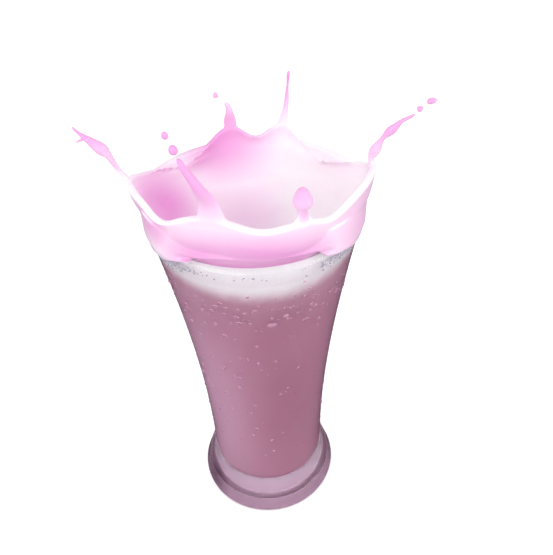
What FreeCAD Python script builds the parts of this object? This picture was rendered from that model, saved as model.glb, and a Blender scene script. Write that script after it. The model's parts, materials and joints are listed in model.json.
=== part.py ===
"""A tall footed glass of rose milk, with a crown-shaped splash standing on the drink.

Frame: +Z up, origin at the centre of the foot's underside. Lengths are in millimetres, angles in
degrees. An azimuth is 0 towards -Y, the front, and grows towards +X, the right.
"""

import FreeCAD, Part
import math
import os

from FreeCAD import Vector

# ---------------------------------------------------------------- the glass
GLASS_HEIGHT = 150.0
RIM_RADIUS = 38.5
RIM_WALL = 3.0
WAIST_RADIUS = 26.3
WAIST_HEIGHT = 30.0
WAIST_WALL = 2.6
FLARE_POWER = 1.85  # 1 makes a cone, 2 a parabola
FOOT_RADIUS = 32.6
FOOT_CORNER = 1.2
SHOULDER_RADIUS = 30.6
SHOULDER_HEIGHT = 8.0
SHOULDER_ROUND = 0.9
COVE_TOP = 20.0  # where the hollow above the shoulder runs into the wall
FLOOR_HEIGHT = 13.0  # the thick bottom, at its centre
FLOOR_DISH = 0.8  # how much higher the floor is where its corner starts
FLOOR_CORNER = 5.0

# ---------------------------------------------------------------- the filling
FROTH_TOP_DEPTH = 1.2  # below the rim
FROTH_BOTTOM_DEPTH = 8.0  # below the rim
FROTH_FIT = 0.1  # between the froth and the splash

# ---------------------------------------------------------------- the splash's sheet
SHEET_THICKNESS = 1.8
SHEET_BELL = 3.0  # how early the sheet leans out over the rim; 1 makes it a cone
SHEET_FOOT_GAP = 0.9  # between the sheet's foot and the inside of the glass
SHEET_RIM_CLEARANCE = 0.2  # the sheet stays upright until it is this far above the rim
LIP_BEAD = 2.4  # across the rounded edge
CRATER_DEPTH = 12.0  # of the splash's floor, below the sheet's foot
CRATER_POWER = 2.5  # a flat middle and a steep side
FLOOR_THICKNESS = 3.0
SHEET_AZIMUTHS = 90

# The lip's line, where it rises to a finger and dips between two:
# azimuth, out from the rim's outer edge, up from the rim.
LIP = (
    (2.0, 3.2, 16.1),
    (20.0, 2.6, 16.8),
    (36.0, 0.0, 13.0),
    (54.0, 0.9, 16.6),
    (78.0, 2.0, 17.6),
    (100.0, 2.4, 11.4),
    (132.0, 2.0, 4.3),
    (150.0, 2.8, 9.0),
    (161.5, 4.4, 14.4),
    (177.0, 3.2, 8.4),
    (190.5, 4.2, 13.6),
    (208.0, 2.0, 7.4),
    (228.0, 1.2, 5.2),
    (256.0, 2.4, 10.6),
    (271.0, 3.8, 13.8),
    (291.0, -0.2, 11.4),
    (312.0, 0.0, 11.6),
    (330.0, 1.9, 17.6),
    (343.0, 2.6, 20.2),
)

# ---------------------------------------------------------------- the splash's fingers
# Each stands on the lip at an azimuth, on a root that is so many millimetres wide each way and
# narrows down inside the sheet. From there it goes through its stops to its tip: azimuth, out
# from the rim's outer edge, up from the rim, half its width along the lip and half its thickness.
FINGERS = {
    "front_left": {
        "azimuth": 343.0,
        "root": 5.6,
        "stops": (
            (342.0, 2.2, 24.5, 3.3, 1.6),
            (341.0, 4.2, 28.8, 2.1, 1.5),
            (339.0, 5.6, 33.3, 1.4, 1.3),
            (337.0, 6.6, 37.0, 1.0, 1.0),
            (336.0, 6.6, 38.8, 0.75, 0.75),
        ),
    },
    "front_right": {
        "azimuth": 19.0,
        "root": 4.2,
        "stops": (
            (19.0, 2.7, 19.6, 2.4, 1.9),
            (19.0, 2.6, 22.6, 2.15, 2.0),
            (19.0, 2.4, 25.0, 2.4, 2.2),
            (19.0, 2.4, 26.2, 2.0, 2.0),
        ),
    },
    "right": {
        "azimuth": 79.0,
        "root": 3.2,
        "stops": (
            (79.0, 1.2, 19.4, 1.0, 1.0),
            (79.0, 2.0, 22.6, 1.2, 1.8),
            (79.0, 3.1, 24.8, 1.0, 1.5),
            (79.0, 4.4, 27.4, 0.7, 0.75),
            (79.0, 6.3, 29.6, 1.0, 1.5),
            (79.0, 8.1, 31.4, 0.9, 1.15),
            (79.0, 9.4, 32.9, 0.65, 0.7),
            (79.0, 11.6, 34.2, 0.55, 0.55),
            (79.0, 13.2, 35.2, 0.4, 0.4),
        ),
    },
    "back_right": {
        "azimuth": 161.5,
        "root": 3.4,
        "stops": (
            (161.0, 5.4, 18.4, 1.4, 1.1),
            (160.0, 5.6, 22.5, 1.0, 0.9),
            (159.5, 5.3, 26.6, 0.7, 0.65),
            (159.0, 4.9, 29.5, 0.45, 0.45),
            (158.5, 4.6, 32.6, 0.6, 0.6),
            (158.0, 4.2, 35.0, 0.45, 0.45),
        ),
    },
    "back_left": {
        "azimuth": 190.5,
        "root": 3.4,
        "stops": (
            (190.5, 4.6, 16.4, 2.6, 1.4),
            (190.5, 3.6, 19.6, 1.6, 1.3),
            (191.0, 3.2, 22.2, 1.15, 1.1),
            (192.0, 2.8, 23.4, 0.95, 0.95),
        ),
    },
    "left": {
        "azimuth": 271.0,
        "root": 3.2,
        "stops": (
            (271.0, 5.6, 16.8, 0.95, 0.85),
            (271.0, 7.5, 20.6, 1.1, 1.0),
            (271.0, 8.5, 23.2, 1.5, 1.3),
            (271.0, 10.0, 25.2, 1.7, 2.1),
            (271.0, 12.1, 27.3, 1.4, 1.7),
            (271.0, 14.0, 29.2, 1.0, 1.1),
            (271.0, 15.7, 30.8, 0.6, 0.6),
            (271.0, 17.4, 33.0, 0.45, 0.45),
        ),
    },
}
FINGER_SIDES = 10
FINGER_STEPS = 3  # sections from one stop to the next

# ---------------------------------------------------------------- the thrown drops
# Centre (azimuth, out from the rim's outer edge, up from the rim), half width, half length, and
# the lean of the long axis outwards from upright.
DROPS = {
    "drop_front_left_low": ((336.0, 8.6, 42.6), 1.1, 1.3, 20.0),
    "drop_front_left_high": ((336.0, 11.2, 47.4), 0.8, 1.0, 20.0),
    "drop_back_left": ((198.0, 1.4, 27.9), 0.95, 1.1, 10.0),
    "drop_right_near": ((79.0, 14.7, 37.1), 0.85, 0.9, 60.0),
    "drop_right_far": ((79.0, 17.9, 39.6), 0.9, 1.45, 75.0),
}


# ---------------------------------------------------------------- places
def around(azimuth, radius, height):
    """The point at that azimuth, distance from the axis and height."""
    turn = math.radians(azimuth)
    return Vector(radius * math.sin(turn), -radius * math.cos(turn), height)


def from_rim(azimuth, out, up):
    """A point given from the rim's outer edge."""
    return around(azimuth, RIM_RADIUS + out, GLASS_HEIGHT + up)


# ---------------------------------------------------------------- the outlines of the glass
def flare_share(height):
    """How far the flare has come between the waist and the rim, from 0 to 1."""
    rise = (height - WAIST_HEIGHT) / (GLASS_HEIGHT - RIM_WALL / 2 - WAIST_HEIGHT)
    return min(1.0, max(0.0, rise))


def outer_radius(height):
    return WAIST_RADIUS + (RIM_RADIUS - WAIST_RADIUS) * flare_share(height) ** FLARE_POWER


def inner_radius(height):
    """The inside follows the outside, a wall's thickness away."""
    return outer_radius(height) - WAIST_WALL - (RIM_WALL - WAIST_WALL) * flare_share(height)


def line(start, end):
    return Part.makeLine(Vector(start[0], 0, start[1]), Vector(end[0], 0, end[1]))


def arc(start, middle, end):
    start, middle, end = [Vector(radius, 0, height) for radius, height in (start, middle, end)]
    return Part.Arc(start, middle, end).toShape()


def flare(radius_at, low, high, spans=16):
    """A smooth edge for a radius that grows with the height."""
    heights = [low + (high - low) * i / spans for i in range(spans + 1)]
    curve = Part.BSplineCurve()
    curve.interpolate([Vector(radius_at(height), 0, height) for height in heights])
    return curve.toShape()


def quarter(start, end, corner_first):
    """A quarter of an ellipse's worth of arc that rounds the corner between two points."""
    corner = (end[0], start[1]) if corner_first else (start[0], end[1])
    bulge = math.sqrt(0.5)
    middle = [(s + e - c) + (c - (s + e - c)) * bulge for s, e, c in zip(start, end, corner)]
    return arc(start, middle, end)


def inside_edges(top):
    """The inside of the glass, from the middle of its floor up its wall to a height."""
    wall = inner_radius(WAIST_HEIGHT)
    flat_end = (wall - FLOOR_CORNER, FLOOR_HEIGHT + FLOOR_DISH)
    corner_end = (wall, FLOOR_HEIGHT + FLOOR_DISH + FLOOR_CORNER)
    return [
        arc((0, FLOOR_HEIGHT), (flat_end[0] / 2, FLOOR_HEIGHT + FLOOR_DISH / 4), flat_end),
        quarter(flat_end, corner_end, True),
        line(corner_end, (wall, WAIST_HEIGHT)),
        flare(inner_radius, WAIST_HEIGHT, top),
    ]


def cove_arc(start, end):
    """The hollow above the foot: an arc that runs straight up into the wall."""
    run, rise = start[0] - end[0], end[1] - start[1]
    radius = (run**2 + rise**2) / (2 * run)
    half_turn = math.asin(rise / radius) / 2
    middle = (
        end[0] + radius * (1 - math.cos(half_turn)),
        end[1] - radius * math.sin(half_turn),
    )
    return arc(start, middle, end)


def outside_edges(top):
    """The outside of the glass, from the middle of its underside up its wall to a height."""
    foot_end = (FOOT_RADIUS - FOOT_CORNER, 0)
    side_start = (FOOT_RADIUS, FOOT_CORNER)
    shoulder = (SHOULDER_RADIUS, SHOULDER_HEIGHT - SHOULDER_ROUND)
    cove_start = (SHOULDER_RADIUS - SHOULDER_ROUND, SHOULDER_HEIGHT)
    cove_end = (WAIST_RADIUS, COVE_TOP)
    return [
        line((0, 0), foot_end),
        quarter(foot_end, side_start, True),
        line(side_start, shoulder),
        quarter(shoulder, cove_start, False),
        cove_arc(cove_start, cove_end),
        line(cove_end, (WAIST_RADIUS, WAIST_HEIGHT)),
        flare(outer_radius, WAIST_HEIGHT, top),
    ]


def turned(edges):
    """The solid that a closed outline of edges sweeps round the axis."""
    outline = Part.Wire(Part.__sortEdges__(edges))
    return Part.Face(outline).revolve(Vector(0, 0, 0), Vector(0, 0, 1), 360)


# ---------------------------------------------------------------- skins
def skin(start, rings, end, seams=()):
    """A closed solid under one smooth surface: from a point, along closed rings, to a point.

    The surface becomes several faces that meet at the seams, each near the ring of that number.
    """
    sides, levels = len(rings[0]), len(rings) + 2
    poles = [[start, *[ring[side] for ring in rings], end] for side in range(sides)]
    surface = Part.BSplineSurface()
    surface.buildFromPolesMultsKnots(
        poles,
        [1] * (sides + 1),
        [4] + [1] * (levels - 4) + [4],
        list(range(sides + 1)),
        list(range(levels - 2)),
        True,
        False,
        3,
        3,
    )
    if not seams:
        return Part.Solid(Part.Shell([Part.Face(surface)]))
    edges = [0, *seams, levels - 3]
    bands = [surface.copy() for _ in edges[1:]]
    for band, low, high in zip(bands, edges, edges[1:]):
        band.segment(0, sides, low, high)
    shell = Part.Shell([Part.Face(band) for band in bands])
    shell.sewShape()
    return Part.Solid(shell)


def ellipse(centre, wide, half_width, deep, half_depth):
    """A ring of points whose smooth curve is an ellipse of those half sizes."""
    reach = 3 / (2 + math.cos(2 * math.pi / FINGER_SIDES))
    turns = [2 * math.pi * side / FINGER_SIDES for side in range(FINGER_SIDES)]
    return [
        centre
        + wide * (half_width * reach * math.cos(turn))
        + deep * (half_depth * reach * math.sin(turn))
        for turn in turns
    ]


# ---------------------------------------------------------------- the pieces
def make_glass():
    round_start = GLASS_HEIGHT - RIM_WALL / 2
    outer = (RIM_RADIUS, round_start)
    inner = (RIM_RADIUS - RIM_WALL, round_start)
    rim = arc(outer, (RIM_RADIUS - RIM_WALL / 2, GLASS_HEIGHT), inner)
    axis = line((0, 0), (0, FLOOR_HEIGHT))
    return turned([*outside_edges(round_start), rim, *inside_edges(round_start), axis])


def lip_at(azimuth):
    """How far out and up the lip is at an azimuth: a smooth line through the points of LIP."""
    count = len(LIP)
    azimuth %= 360
    after = next((i for i in range(count) if LIP[i][0] > azimuth), count)
    near = [LIP[(after + step) % count] for step in (-2, -1, 0, 1)]
    turns = [360 * ((after + step) // count) for step in (-2, -1, 0, 1)]
    places = [point[0] + turn for point, turn in zip(near, turns)]
    width = places[2] - places[1]
    share = (azimuth - places[1]) / width

    def smooth(item):
        low, high = near[1][item], near[2][item]
        slope_low = (high - near[0][item]) / (places[2] - places[0]) * width
        slope_high = (near[3][item] - low) / (places[3] - places[1]) * width
        return (
            low * (1 + 2 * share) * (1 - share) ** 2
            + slope_low * share * (1 - share) ** 2
            + high * share**2 * (3 - 2 * share)
            + slope_high * share**2 * (share - 1)
        )

    return smooth(1), smooth(2)


def sheet_foot():
    """The radius and height of the middle of the sheet's foot, where the froth meets it."""
    height = GLASS_HEIGHT - FROTH_TOP_DEPTH
    return inner_radius(height) - SHEET_FOOT_GAP - SHEET_THICKNESS / 2, height


def sheet_place(azimuth, rise, aside=0.0):
    """The radius and height of a place on the sheet.

    The rise is 0 at its foot and 1 at its lip, and aside is how far it lies out of the middle.
    The sheet stands upright until it is past the glass's rim and then bells out over it.
    """
    out, up = lip_at(azimuth)
    foot_radius, foot_height = sheet_foot()
    spread = RIM_RADIUS + out - foot_radius
    rise_height = GLASS_HEIGHT + up - foot_height
    upright = (GLASS_HEIGHT + SHEET_RIM_CLEARANCE - foot_height) / rise_height
    left = min(1.0, max(0.0, (1 - rise) / (1 - upright)))
    leaning = spread * SHEET_BELL * left ** (SHEET_BELL - 1) if left < 1 else 0.0
    lean = math.atan2(leaning, rise_height)
    radius = foot_radius + spread * (1 - left**SHEET_BELL)
    height = foot_height + rise_height * rise
    return radius + aside * math.cos(lean), height - aside * math.sin(lean)


def bowl_place(share, edge_radius, edge_height):
    """The radius and height of a place on the round bowl that the sheet rises from."""
    return edge_radius * share, edge_height - CRATER_DEPTH * (1 - share**CRATER_POWER)


def splash_outline(azimuth):
    """The section at an azimuth, as four runs of places: under the bowl, up outside the sheet to
    the top of its lip, down inside it, and over the bowl.
    """
    foot_radius, foot_height = sheet_foot()
    half, bead = SHEET_THICKNESS / 2, LIP_BEAD / 2
    rises = (0.1, 0.3, 0.5, 0.7, 0.86)
    under = [
        bowl_place(share, foot_radius + half, foot_height - FLOOR_THICKNESS)
        for share in (0.12, 0.35, 0.58, 0.78, 0.92, 0.99)
    ]
    outside = [(foot_radius + half, foot_height - FLOOR_THICKNESS / 2)]
    outside += [sheet_place(azimuth, rise, half) for rise in rises]
    outside += [
        sheet_place(azimuth, 0.96, bead * 1.2),
        sheet_place(azimuth, 1.03, bead),
        sheet_place(azimuth, 1.05),
    ]
    inside = [sheet_place(azimuth, 1.03, -bead), sheet_place(azimuth, 0.96, -bead * 1.2)]
    inside += [sheet_place(azimuth, rise, -half) for rise in reversed(rises)]
    bowl = [
        bowl_place(share, foot_radius - half, foot_height)
        for share in (0.97, 0.86, 0.7, 0.5, 0.3, 0.12)
    ]
    return under, outside, inside, bowl


def make_sheet():
    """The bowl and its upright sheet, in one piece."""
    azimuths = [360 * i / SHEET_AZIMUTHS for i in range(SHEET_AZIMUTHS)]
    outlines = [splash_outline(azimuth) for azimuth in azimuths]
    rings = []
    seams = []
    for run in range(len(outlines[0])):
        for level in range(len(outlines[0][run])):
            rings.append([around(a, *o[run][level]) for a, o in zip(azimuths, outlines)])
        seams.append(len(rings))
    floor = sheet_foot()[1] - CRATER_DEPTH
    return skin(Vector(0, 0, floor - FLOOR_THICKNESS), rings, Vector(0, 0, floor), seams[:-1])


def finger_stops(finger):
    """The places on a finger's path, from inside the sheet to the tip, and its half sizes there."""
    azimuth, root = finger["azimuth"], finger["root"]
    inside = SHEET_THICKNESS * 0.35
    stops = [
        (around(azimuth, *sheet_place(azimuth, 0.5)), root * 0.4, inside * 0.5),
        (around(azimuth, *sheet_place(azimuth, 0.75)), root * 0.8, inside),
        (around(azimuth, *sheet_place(azimuth, 0.98)), root * 0.8, LIP_BEAD * 0.45),
    ]
    return stops + [(from_rim(*stop[:3]), *stop[3:]) for stop in finger["stops"]]


def along_lip(azimuth):
    """The level direction in which the lip runs at an azimuth."""
    before, after = [around(side, *sheet_place(side, 0.75)) for side in (azimuth - 2, azimuth + 2)]
    direction = after - before
    direction.z = 0
    return direction.normalize()


def make_finger(finger):
    """A finger of milk, whose sections are ellipses square to a smooth path through its stops."""
    stops = finger_stops(finger)
    wide = along_lip(finger["azimuth"])
    along = [0.0]
    for before, after in zip(stops, stops[1:]):
        along.append(along[-1] + before[0].distanceToPoint(after[0]))
    path, sizes = Part.BSplineCurve(), Part.BSplineCurve()
    path.interpolate(Points=[stop[0] for stop in stops], Parameters=along)
    sizes.interpolate(Points=[Vector(stop[1], stop[2], 0) for stop in stops], Parameters=along)

    def ring(distance, ahead=0.0, share=1.0):
        place, heading = path.getD1(distance)
        heading.normalize()
        size = sizes.value(distance) * share
        deep = wide.cross(heading).normalize()
        return ellipse(place + heading * ahead, wide, size.x, deep, size.y)

    rings = []
    for before, after in zip(along, along[1:]):
        for step in range(FINGER_STEPS):
            rings.append(ring(before + (after - before) * step / FINGER_STEPS))
    tip, tip_size = stops[-1][0], max(stops[-1][1:])
    heading = (tip - stops[-2][0]).normalize()
    rings += [ring(along[-1]), ring(along[-1], tip_size * 0.6, 0.7)]
    return skin(stops[0][0], rings, tip + heading * tip_size)


def make_drop(centre, half_width, half_length, lean):
    """An egg-shaped drop, a little fuller at its lower end."""
    turn, tilt = math.radians(centre[0]), math.radians(lean)
    outward = Vector(math.sin(turn), -math.cos(turn), 0)
    wide = Vector(math.cos(turn), math.sin(turn), 0)
    axis = outward * math.sin(tilt) + Vector(0, 0, math.cos(tilt))
    deep = axis.cross(wide)
    middle = from_rim(*centre)
    rings = []
    for along, width in ((-1.0, 0.6), (-0.75, 1.0), (-0.1, 1.15), (0.6, 0.85), (1.0, 0.4)):
        size = half_width * width
        rings.append(ellipse(middle + axis * (half_length * along), wide, size, deep, size))
    reach = axis * half_length * 1.05
    return skin(middle - reach, rings, middle + reach)


def make_splash(sheet):
    splash = sheet
    for finger in FINGERS.values():
        splash = splash.fuse(make_finger(finger))
    return splash.Solids[0]


def make_froth():
    """The pale ring of froth between the splash and the glass, down to the drink."""
    low, high = GLASS_HEIGHT - FROTH_BOTTOM_DEPTH, GLASS_HEIGHT - FROTH_TOP_DEPTH
    foot_radius, foot_height = sheet_foot()
    inner, bowl_edge = foot_radius + SHEET_THICKNESS / 2 + FROTH_FIT, foot_height - FLOOR_THICKNESS
    lowest = (1 - (bowl_edge - low) / CRATER_DEPTH) ** (1 / CRATER_POWER)
    under = [bowl_place(1 + (lowest - 1) * i / 4, inner, bowl_edge) for i in range(5)]
    bowl = Part.BSplineCurve()
    bowl.interpolate([Vector(radius, 0, height) for radius, height in under])
    return turned(
        [
            line(under[-1], (inner_radius(low), low)),
            flare(inner_radius, low, high),
            line((inner_radius(high), high), (inner, high)),
            line((inner, high), (inner, bowl_edge)),
            bowl.toShape(),
        ]
    )


def make_drink(splash):
    """What fills the glass up to the froth, without what is cut off in the splash's bowl."""
    top = GLASS_HEIGHT - FROTH_BOTTOM_DEPTH
    outline = [
        *inside_edges(top),
        line((inner_radius(top), top), (0, top)),
        line((0, top), (0, FLOOR_HEIGHT)),
    ]
    cut = turned(outline).cut(splash)
    return max(cut.Solids, key=lambda solid: solid.BoundBox.XLength)


def main():
    sheet = make_sheet()
    splash = make_splash(sheet)
    pieces = {
        "glass": make_glass(),
        "drink": make_drink(sheet),
        "froth": make_froth(),
        "splash": splash,
    }
    for name, drop in DROPS.items():
        pieces[name] = make_drop(*drop)
    os.makedirs("parts", exist_ok=True)
    for name, shape in pieces.items():
        print(name, shape.ShapeType, "solids", len(shape.Solids), "valid", shape.isValid())
        print("   volume", round(shape.Volume / 1000, 2), "cm3", shape.BoundBox)
        shape.exportStep(f"parts/{name}.step")


main()
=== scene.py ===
# %% [markdown]
# # A tall footed glass of rose milk, with a splash standing on it
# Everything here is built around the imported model, in metres, with +Z up and the origin under
# the middle of the foot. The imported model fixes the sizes. Blender adds what a solid can't
# show: clear glass with a bead of water here and there, milk that light sinks into, froth,
# and the soft blends where a thrown sheet of milk turns into fingers and drops.

# %% Load the frame
import json
import math
import random

import bpy
from mathutils import Matrix, Vector

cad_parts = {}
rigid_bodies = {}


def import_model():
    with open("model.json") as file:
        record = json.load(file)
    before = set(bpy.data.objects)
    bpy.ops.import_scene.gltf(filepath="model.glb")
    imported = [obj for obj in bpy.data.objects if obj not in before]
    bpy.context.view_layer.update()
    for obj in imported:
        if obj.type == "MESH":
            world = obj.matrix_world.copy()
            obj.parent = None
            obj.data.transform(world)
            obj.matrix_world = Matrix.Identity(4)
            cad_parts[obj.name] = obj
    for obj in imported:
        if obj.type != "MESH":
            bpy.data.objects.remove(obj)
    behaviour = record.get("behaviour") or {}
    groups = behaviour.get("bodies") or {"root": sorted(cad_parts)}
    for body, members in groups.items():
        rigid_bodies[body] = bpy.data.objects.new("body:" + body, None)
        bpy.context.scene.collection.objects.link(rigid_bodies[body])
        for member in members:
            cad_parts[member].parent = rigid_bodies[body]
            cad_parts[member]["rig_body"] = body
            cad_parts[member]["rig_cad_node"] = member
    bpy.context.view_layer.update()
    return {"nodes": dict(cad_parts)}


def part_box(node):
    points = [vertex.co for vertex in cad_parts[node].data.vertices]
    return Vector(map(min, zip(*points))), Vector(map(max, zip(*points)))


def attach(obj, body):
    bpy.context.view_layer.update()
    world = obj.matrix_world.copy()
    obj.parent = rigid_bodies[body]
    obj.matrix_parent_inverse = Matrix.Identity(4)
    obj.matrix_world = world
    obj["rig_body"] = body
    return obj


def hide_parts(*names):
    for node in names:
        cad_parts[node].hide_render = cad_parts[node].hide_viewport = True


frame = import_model()
MM = 0.001
print("frame:", sorted(frame["nodes"]))

# %% [markdown]
# ## Camera
# A camera is placed by a point, a heading and a lens. This one stands in front of the glass,
# above it, and looks down into the splash. A real camera held by hand is never quite level,
# so it is rolled by two degrees. The lens is a little wide and the camera is close, which is
# why the rim looks so much bigger than the foot.

# %% Camera
CAMERA_PLACE = (0.0, -0.1670, 0.2477)
CAMERA_TILT_DOWN = math.radians(37.95)
CAMERA_HEADING = math.radians(-2.41)
CAMERA_ROLL = math.radians(-1.985)
CAMERA_LENS = 34.57

bpy.ops.object.select_all(action="DESELECT")
bpy.ops.object.camera_add()
camera = bpy.context.object
camera.name = "camera"
camera.matrix_world = (
    Matrix.Translation(CAMERA_PLACE)
    @ Matrix.Rotation(CAMERA_HEADING, 4, "Z")
    @ Matrix.Rotation(math.pi / 2 - CAMERA_TILT_DOWN, 4, "X")
    @ Matrix.Rotation(CAMERA_ROLL, 4, "Z")
)
camera.data.lens = CAMERA_LENS
bpy.context.scene.camera = camera
bpy.context.scene.view_settings.view_transform = "Standard"
print("camera:", tuple(round(v, 4) for v in camera.location), "lens", camera.data.lens)

# %% [markdown]
# ## Helpers for nodes
# A material is a small graph. Each node is one step, and wires carry colours and numbers
# between them. These helpers add a node, set it and wire it in one call, so that the recipes
# further down read from top to bottom. Colours are written in the 0-255 numbers of a paint
# chart and turned into the linear light that Blender works in.

# %% Node helpers


def chip(red, green, blue):
    """A colour from a paint chart, as linear red, green, blue and alpha."""
    parts = [part / 255 for part in (red, green, blue)]
    linear = [p / 12.92 if p <= 0.04045 else ((p + 0.055) / 1.055) ** 2.4 for p in parts]
    return (*linear, 1.0)


def node(tree, kind, inputs=None, **settings):
    """Adds a node, sets its options, and gives each input a value or a wire."""
    made = tree.nodes.new(kind)
    for option, value in settings.items():
        setattr(made, option, value)
    for name, value in (inputs or {}).items():
        if isinstance(value, bpy.types.NodeSocket):
            tree.links.new(value, made.inputs[name])
        else:
            made.inputs[name].default_value = value
    return made


def new_material(name):
    """An empty material, its tree, and its output node."""
    material = bpy.data.materials.new(name)
    material.use_nodes = True
    tree = material.node_tree
    tree.nodes.clear()
    return material, tree, tree.nodes.new("ShaderNodeOutputMaterial")


def maths(tree, operation, first, second=0.0, third=0.0, clamp=False):
    """One sum on numbers, as an output socket."""
    made = tree.nodes.new("ShaderNodeMath")
    made.operation, made.use_clamp = operation, clamp
    for place, value in enumerate((first, second, third)):
        if isinstance(value, bpy.types.NodeSocket):
            tree.links.new(value, made.inputs[place])
        else:
            made.inputs[place].default_value = value
    return made.outputs[0]


def blend(tree, amount, first, second):
    """A colour between two others, as an output socket."""
    made = tree.nodes.new("ShaderNodeMix")
    made.data_type = "RGBA"
    for place, value in ((0, amount), (6, first), (7, second)):
        if isinstance(value, bpy.types.NodeSocket):
            tree.links.new(value, made.inputs[place])
        else:
            made.inputs[place].default_value = value
    return made.outputs[2]


def fade(tree, value, start, end, low=0.0, high=1.0, curve="SMOOTHSTEP"):
    """A number that goes from low to high while a value goes from start to end."""
    made = node(
        tree, "ShaderNodeMapRange",
        {"Value": value, "From Min": start, "From Max": end, "To Min": low, "To Max": high},
        interpolation_type=curve,
    )
    return made.outputs[0]


def either(tree, amount, first, second):
    """One shader or another, or a share of each."""
    shaders = {1: first.outputs[0], 2: second.outputs[0]}
    return node(tree, "ShaderNodeMixShader", {0: amount, **shaders}).outputs[0]


print("node helpers ready")

# %% [markdown]
# ## Studio
# The glass stands on a white table in a white room. The room gives an even light from every
# side, and four soft lamps add a direction to it, so that round things look round. Seen
# by the camera, and in glass, the room and table are plain white. The table still darkens
# where the glass keeps light from it.

# %% World
ROOM_LIGHT = 0.70
world = bpy.data.worlds.new("white_room")
bpy.context.scene.world = world
world.use_nodes = True
tree = world.node_tree
tree.nodes.clear()


def seen_directly(tree):
    """1 for what the camera sees straight, mirrored or through glass, and 0 for plain light."""
    path = tree.nodes.new("ShaderNodeLightPath")
    mirrored = maths(tree, "MAXIMUM", path.outputs["Is Camera Ray"], path.outputs["Is Glossy Ray"])
    return maths(tree, "MAXIMUM", mirrored, path.outputs["Is Transmission Ray"])


room = node(tree, "ShaderNodeBackground", {"Color": (1, 1, 1, 1), "Strength": ROOM_LIGHT})
white = node(tree, "ShaderNodeBackground", {"Color": (1, 1, 1, 1), "Strength": 1.0})
node(tree, "ShaderNodeOutputWorld", {"Surface": either(tree, seen_directly(tree), room, white)})
print("room light", ROOM_LIGHT)

# %% [markdown]
# ### The table
# One large flat square. Its own glow, which only the camera and the glass see, makes it as
# white as the room. The glow fades in at the edge of the foot and in a patch under its middle.

# %% Table
TABLE_SIZE, TABLE_DROP = 6.0, 0.1 * MM
TABLE_GREY, TABLE_GLOW, PATCH_GLOW = 0.7, 0.55, 0.95
GLOW_FROM, GLOW_FULL = 31.5 * MM, 33.5 * MM
PATCH_FULL, PATCH_END = 17.0 * MM, 22.0 * MM

bpy.ops.object.select_all(action="DESELECT")
bpy.ops.mesh.primitive_plane_add(size=TABLE_SIZE, location=(0, 0, -TABLE_DROP))
table = bpy.context.object
table.name = "table"

material, tree, output = new_material("white_table")
where = node(tree, "ShaderNodeTexCoord").outputs["Object"]
away = node(tree, "ShaderNodeVectorMath", {0: where}, operation="LENGTH").outputs["Value"]
open_table = fade(tree, away, GLOW_FROM, GLOW_FULL, 0.0, TABLE_GLOW)
patch = fade(tree, away, PATCH_FULL, PATCH_END, PATCH_GLOW, 0.0)
strength = maths(tree, "ADD", open_table, patch)
matt = node(tree, "ShaderNodeBsdfDiffuse", {"Color": (TABLE_GREY, TABLE_GREY, TABLE_GREY, 1)})
glow = node(tree, "ShaderNodeEmission", {"Color": (1, 1, 1, 1), "Strength": strength})
lit = node(tree, "ShaderNodeAddShader", {0: matt.outputs[0], 1: glow.outputs[0]})
tree.links.new(either(tree, seen_directly(tree), matt, lit), output.inputs["Surface"])
table.data.materials.append(material)
print("table", TABLE_SIZE, "m across")

# %% [markdown]
# ### A dark card for the glass
# In an all-white room clear glass has no edges. In a studio, dark card is laid around a glass,
# just out of view, and its reflection draws a thin dark line down each side. This card is
# a flat ring round the foot. Only mirrored rays, and rays that come straight from the
# camera through the glass, see it, so it never shows itself and takes no light from the milk.

# %% Dark card
CARD_INSIDE, CARD_OUTSIDE, CARD_UP = 32.7 * MM, 0.50, 0.2 * MM
CARD_COLOUR = chip(38, 30, 40)
bpy.ops.object.select_all(action="DESELECT")
bpy.ops.mesh.primitive_circle_add(
    vertices=96, radius=CARD_OUTSIDE, fill_type="NGON", location=(0, 0, CARD_UP)
)
card = bpy.context.object
card.name = "dark_card"
bpy.ops.object.mode_set(mode="EDIT")
bpy.ops.mesh.select_all(action="SELECT")
bpy.ops.mesh.inset(thickness=CARD_OUTSIDE - CARD_INSIDE)
bpy.ops.mesh.delete(type="FACE")
bpy.ops.object.mode_set(mode="OBJECT")
card.visible_camera = card.visible_diffuse = card.visible_shadow = False
material, tree, output = new_material("dark_card")
matt = node(tree, "ShaderNodeEmission", {"Color": CARD_COLOUR, "Strength": 1.0})
clear = node(tree, "ShaderNodeBsdfTransparent")
path = tree.nodes.new("ShaderNodeLightPath")
# The depth counts the matt surfaces that a ray has met, and is a whole number.
before_milk = maths(tree, "LESS_THAN", path.outputs["Diffuse Depth"], 0.5)
tree.links.new(either(tree, before_milk, clear, matt), output.inputs["Surface"])
card.data.materials.append(material)
print("card:", len(card.data.polygons), "faces")

# %% [markdown]
# ### The lamps
# The main light is low on the left, in front. A small one stands high on the right, one from
# above fills the bowl of the splash, and a long strip, low on the right, keeps that side of
# the drink from going dull.

# %% Lamps
MIDDLE = (0, 0, 0.12)


def soft_lamp(name, place, size, power, tall=None):
    """A lamp that faces the middle of the glass. It is square unless it is given a height."""
    bpy.ops.object.select_all(action="DESELECT")
    bpy.ops.object.light_add(type="AREA", location=place)
    lamp = bpy.context.object
    lamp.name = name
    lamp.data.shape, lamp.data.energy = "RECTANGLE", power
    lamp.data.size, lamp.data.size_y = size, tall or size
    lamp.rotation_euler = (Vector(MIDDLE) - Vector(place)).to_track_quat("-Z", "Y").to_euler()


soft_lamp("lamp_right", (0.65, -0.25, 0.50), 0.3, 2.1)
soft_lamp("lamp_left_front", (-0.45, -0.75, 0.22), 0.6, 2.9)
soft_lamp("lamp_above_left", (-0.50, -0.34, 0.64), 0.5, 1.7)
soft_lamp("strip_low_right", (0.765, -0.477, 0.11), 0.7, 1.0, 0.12)

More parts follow.
